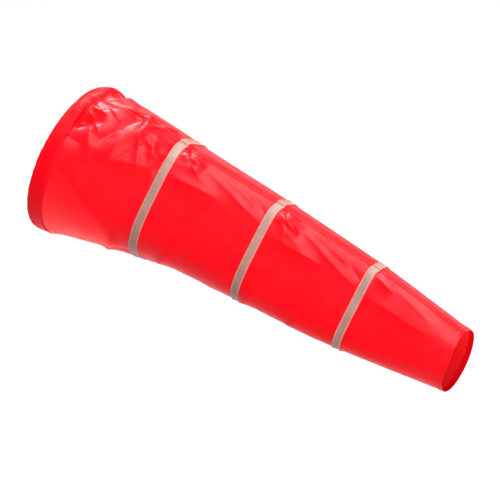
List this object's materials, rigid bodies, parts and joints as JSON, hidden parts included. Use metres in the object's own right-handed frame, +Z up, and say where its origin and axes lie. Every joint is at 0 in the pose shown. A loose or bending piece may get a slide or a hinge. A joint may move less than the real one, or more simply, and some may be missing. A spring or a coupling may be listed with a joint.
{
  "type": "windsock",
  "caption": "Tapered red fabric windsock on a wire hoop, in sections divided by reflective tapes, that droop one after another as the wind falls.",
  "frame": {"origin": "middle of the mouth, in the plane of its front edge", "axes": "+X runs downwind along the sock to its tail, +Z is up, +Y is left looking downwind"},
  "size_m": [1, 0.35, 0.35],
  "materials": {
    "panel_nylon": "satin",
    "seam_nylon": "satin",
    "hem_nylon": "satin",
    "webbing": "matte",
    "reflective_tape": "satin",
    "thread": "satin",
    "spring_steel": "satin",
    "ferrule_aluminium": "satin"
  },
  "bodies": {
    "mouth": {"mouth_hoop": "spring_steel", "hoop_ferrule": "ferrule_aluminium", "mouth_hem": "hem_nylon", "hem_webbing": "webbing", "tie_loop_top": "webbing", "tie_loop_left": "webbing", "tie_loop_bottom": "webbing", "tie_loop_right": "webbing"},
    "section_1": {"panel_1": "panel_nylon", "panel_seam_1": "seam_nylon", "reflective_tape_1": "reflective_tape"},
    "section_2": {"panel_2": "panel_nylon", "panel_seam_2": "seam_nylon", "reflective_tape_2": "reflective_tape"},
    "section_3": {"panel_3": "panel_nylon", "panel_seam_3": "seam_nylon", "reflective_tape_3": "reflective_tape"},
    "section_4": {"panel_4": "panel_nylon", "panel_seam_4": "seam_nylon", "tail_hem": "hem_nylon"}
  },
  "joints": [
    {"name": "droop_1", "type": "hinge", "parent": "mouth", "child": "section_1", "pos_m": [0.039, 0, 0.17091], "axis": [0, 1, 0], "range_deg": [0, 20], "deforming": ["panel_1", "panel_seam_1"]},
    {"name": "droop_2", "type": "hinge", "parent": "section_1", "child": "section_2", "pos_m": [0.25, 0, 0.14875], "axis": [0, 1, 0], "range_deg": [0, 20], "deforming": ["panel_2", "panel_seam_2"]},
    {"name": "droop_3", "type": "hinge", "parent": "section_2", "child": "section_3", "pos_m": [0.5, 0, 0.1225], "axis": [0, 1, 0], "range_deg": [0, 20], "deforming": ["panel_3", "panel_seam_3"]},
    {"name": "droop_4", "type": "hinge", "parent": "section_3", "child": "section_4", "pos_m": [0.75, 0, 0.09625], "axis": [0, 1, 0], "range_deg": [0, 20], "deforming": ["panel_4", "panel_seam_4"]}
  ]
}
